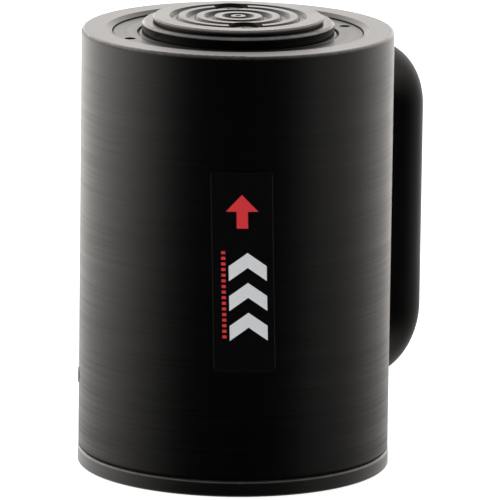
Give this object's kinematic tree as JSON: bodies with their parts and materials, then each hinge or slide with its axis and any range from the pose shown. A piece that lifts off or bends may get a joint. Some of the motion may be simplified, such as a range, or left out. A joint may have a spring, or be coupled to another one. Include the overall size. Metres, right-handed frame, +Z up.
{
  "type": "single acting hydraulic cylinder",
  "caption": "Round aluminium single acting hydraulic cylinder with a spring return plunger, grooved saddle, carrying handle and quick coupler.",
  "frame": {"origin": "centre of the base plate's underside, on the plunger's axis", "axes": "+Z up along the plunger's axis, in its lifting direction; +X towards the carrying handle"},
  "size_m": [0.175, 0.1657, 0.1896],
  "materials": {
    "anodised_body": "black hard anodised, finely turned",
    "anodised_ring": "black hard anodised, finely turned",
    "anodised_plunger": "black hard anodised, ground",
    "anodised_saddle": "blackened, turned",
    "blackened_steel": "blackened, turned",
    "seal_rubber": "matt black",
    "bearing_plastic": "filled bearing plastic",
    "screw_steel": "blackened",
    "inner_steel": "oiled bare steel",
    "spring_steel": "oil tempered wire",
    "handle_grip": "matt black, softly rounded",
    "coupler_steel": "bright zinc plated",
    "poppet_brass": "turned brass",
    "cap_plastic": "matt black, knurled"
  },
  "bodies": {
    "barrel": {"base_plate": "blackened_steel", "cylinder_body": "anodised_body", "stop_ring": "anodised_ring", "wiper_seal": "seal_rubber", "rod_guide_ring": "bearing_plastic", "spring_rod": "inner_steel", "spring_retainer": "inner_steel", "return_spring": "spring_steel", "rod_nut": "inner_steel", "base_screws": "screw_steel", "handle": "handle_grip", "handle_screws": "screw_steel", "coupler_body": "coupler_steel", "poppet_spring": "spring_steel", "bleed_screw": "screw_steel"},
    "ram": {"plunger": "anodised_plunger", "head_seal": "seal_rubber", "seal_backup_ring": "bearing_plastic", "head_guide_ring": "bearing_plastic", "saddle": "anodised_saddle", "saddle_screws": "screw_steel", "spring_seat": "inner_steel"},
    "poppet": {"coupler_poppet": "poppet_brass"},
    "cap": {"dust_cap": "cap_plastic"}
  },
  "joints": [
    {"name": "plunger_slide", "type": "slide", "parent": "barrel", "child": "ram", "axis": [0, 0, 1], "range_m": [0, 0.0635], "stiffness_N_per_m": 6000, "springref_m": -0.035, "deforming": ["return_spring"]},
    {"name": "poppet_press", "type": "slide", "parent": "barrel", "child": "poppet", "axis": [-0.342, -0.9397, 0], "range_m": [0, 0.0035], "stiffness_N_per_m": 900, "springref_m": -0.003, "deforming": ["poppet_spring"]},
    {"name": "dust_cap_pull", "type": "slide", "parent": "barrel", "child": "cap", "axis": [0.342, 0.9397, 0], "range_m": [0, 0.03]}
  ]
}
